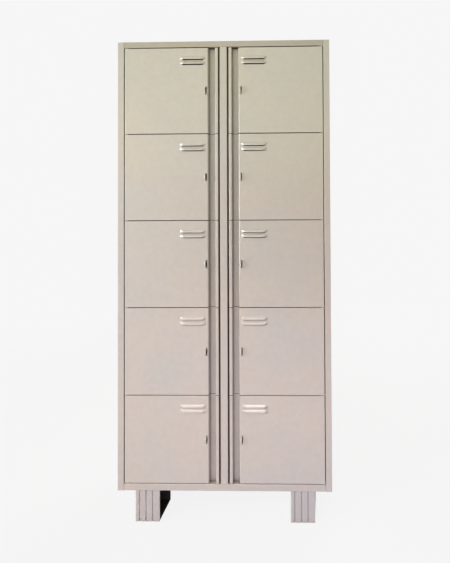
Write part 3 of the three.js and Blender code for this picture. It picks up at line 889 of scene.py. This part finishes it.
side_sheet, stile, rod, shelf = side_panel_shape(), stile_shape(), rod_shape(), shelf_shape()
door, stiffener, staple = door_shape(), stiffener_shape(), staple_shape()
for side in ("left", "right"):
    piece(f"side_sheet_{side}", sided(side_sheet, side), LOCKER, "carcass_enamel", f"side_panel_{side}")
    piece(f"stile_{side}", sided(stile, side), LOCKER, "frame_enamel", f"frame_stile_{side}")
    piece(f"rod_{side}", sided(rod, side), LOCKER, "plated_steel", f"hinge_rod_{side}")
    for row in rows:
        place = f"{side}_{row}"
        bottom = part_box(f"door_right_{row}")[0].z
        piece(f"front_{place}", sided(door, side, bottom), f"door_{place}", "door_enamel", f"door_{place}")
        piece(f"hat_rib_{place}", sided(stiffener, side, bottom - door_low.z), f"door_{place}",
              "stiffener_primer", f"door_stiffener_{place}")
        piece(f"staple_{place}", sided(staple, side, bottom + door_height / 2), LOCKER,
              "staple_enamel", f"padlock_staple_{place}")
        if row < row_count:
            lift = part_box(f"shelf_right_{row}")[0].z - shelf_low.z
            piece(f"shelf_tray_{place}", sided(shelf, side, lift), LOCKER, "carcass_enamel", f"shelf_{place}")

leg, bolt = leg_shape(), bolt_shape()
for corner in CORNERS:
    low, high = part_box(f"leg_{corner}")
    x, y = (low.x + high.x) / 2, (low.y + high.y) / 2
    turn = math.pi if corner.startswith("rear") else 0.0
    piece(f"foot_{corner}", moved(leg, x, y, turn=turn), LOCKER, "leg_enamel", f"leg_{corner}")
    piece(f"bolt_{corner}", moved(bolt, x, y), LOCKER, "plated_steel", f"leg_bolt_{corner}")

# CAD sheets whose shape is right keep it and take the enamel
for name in ("back_panel", "centre_partition"):
    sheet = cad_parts[name]
    sheet.data.materials.clear()
    sheet.data.materials.append(MATERIALS["carcass_enamel"])


# Floor and world

def pale_when_seen(tree, seen, lit):
    """Mixes a plain pale look for camera, glossy and transmission rays with what the other rays meet."""
    path = node(tree, "LightPath").outputs
    straight = calculated(tree, "MAXIMUM", path["Is Camera Ray"], path["Is Glossy Ray"])
    factor = calculated(tree, "MAXIMUM", straight, path["Is Transmission Ray"])
    return node(tree, "MixShader", {"Fac": factor, 1: lit, 2: seen}).outputs["Shader"]


def background(tree, color, strength):
    return node(tree, "Background", {"Color": color, "Strength": strength}).outputs["Background"]


def soft_lobe(tree, direction, strength, color):
    """Soft light that falls off to nothing a quarter turn away from its direction."""
    view = node(tree, "TexCoord").outputs["Generated"]
    inputs = {0: view, 1: Vector(direction).normalized()}
    along = node(tree, "VectorMath", inputs, operation="DOT_PRODUCT").outputs["Value"]
    fall = calculated(tree, "POWER", calculated(tree, "MAXIMUM", along, 0.0), 2.0)
    return background(tree, color, calculated(tree, "MULTIPLY", fall, strength))


ground = placed("ground", box(-GROUND_HALF, GROUND_HALF, -GROUND_HALF, GROUND_HALF, -GROUND_DEPTH, 0))
floor_material, tree = new_tree("ground")
lit_floor = node(tree, "BsdfDiffuse", {"Color": linear(*GROUND_COLOR)}).outputs["BSDF"]
white_floor = node(tree, "BsdfDiffuse", {"Color": (1.0, 1.0, 1.0, 1.0)}).outputs["BSDF"]
glow = node(tree, "Emission", {"Color": linear(*PALE), "Strength": 1.0}).outputs["Emission"]
position = node(tree, "NewGeometry").outputs["Position"]
away = node(tree, "VectorMath", {0: position}, operation="LENGTH").outputs["Value"]
veil = ranged(tree, away, FADE_START, FADE_END, NEAR_VEIL, 1.0)
veiled = node(tree, "MixShader", {"Fac": veil, 1: white_floor, 2: glow}).outputs["Shader"]
node(tree, "OutputMaterial", {"Surface": pale_when_seen(tree, veiled, lit_floor)})
ground.data.materials.append(floor_material)

world = bpy.data.worlds.new("studio")
bpy.context.scene.world = world
world.use_nodes = True
tree = world.node_tree
tree.nodes.clear()
seen = background(tree, linear(*PALE), 1.0)
window_side = soft_lobe(tree, (-0.85, -0.5, 0.0), 1.15, (1.0, 0.94, 0.76, 1.0))
far_side = soft_lobe(tree, (0.85, 0.6, 0.2), 0.5, (1.0, 0.96, 0.9, 1.0))
even = background(tree, (1.0, 0.93, 0.8, 1.0), 0.15)
lobes = node(tree, "AddShader", {0: window_side, 1: far_side}).outputs["Shader"]
lit = node(tree, "AddShader", {0: lobes, 1: even}).outputs["Shader"]
node(tree, "OutputWorld", {"Surface": pale_when_seen(tree, seen, lit)})


# Lamps and camera

def lamp(name, place, target, size, power, color, spread=180, is_mirrored=True, is_glint=False):
    """Area light. One that isn't mirrored gives no highlights, and a glint gives nothing else."""
    light = bpy.data.lights.new(name, "AREA")
    light.spread = math.radians(spread)
    light.shape = "RECTANGLE"
    light.size, light.size_y = size
    light.energy = power
    light.color = color
    obj = placed(name, light)
    obj.location = place
    obj.rotation_euler = (Vector(target) - Vector(place)).to_track_quat("-Z", "Y").to_euler()
    obj.visible_glossy = is_mirrored
    obj.visible_diffuse = not is_glint


lamp("key", (-3.9, -2.5, 1.5), (0, front, 1.1), (2.6, 2.4), 143, (0.81, 0.83, 0.91))
lamp("low", (0.45, -1.6, 0.25), (0.1, front, 0.25), (2.2, 0.3), 4.1, (0.67, 0.64, 1.0),
     spread=110, is_mirrored=False)
lamp("high", (0.3, -1.7, 1.75), (0, front, 1.95), (1.6, 0.5), 1.3, (0.8, 1.0, 0.7),
     spread=60, is_mirrored=False)
lamp("upper", (-0.55, -2.6, 2.9), (-0.1, front, 0.6), (1.6, 0.7), 2.0, (0.98, 0.95, 1.0), spread=44)
lamp("glint", (-3.3, -2.2, 1.6), (0, front, 1.1), (1.9, 2.5), 105, (0.95, 0.97, 1.0), is_glint=True)
lamp("rear", (1.5, 3.2, 3.0), (0, 0, 1.1), (2.0, 2.0), 85, (1.0, 1.0, 1.0), is_mirrored=False)

camera_data = bpy.data.cameras.new("camera")
camera_data.lens = CAMERA_LENS
camera_data.sensor_width = CAMERA_SENSOR
camera_data.shift_x, camera_data.shift_y = CAMERA_SHIFT
camera_data.clip_start = CAMERA_CLIP
camera = placed("camera", camera_data)
camera.location = (CAMERA_X, front - CAMERA_DISTANCE, CAMERA_HEIGHT)
yaw = Matrix.Rotation(math.radians(CAMERA_YAW), 3, "Z")
pitch = Matrix.Rotation(math.radians(CAMERA_PITCH), 3, "X")
roll = Matrix.Rotation(math.radians(CAMERA_ROLL), 3, "Z")
camera.rotation_euler = (yaw @ pitch @ roll).to_euler()
bpy.context.scene.camera = camera
bpy.context.scene.view_settings.view_transform = "Standard"
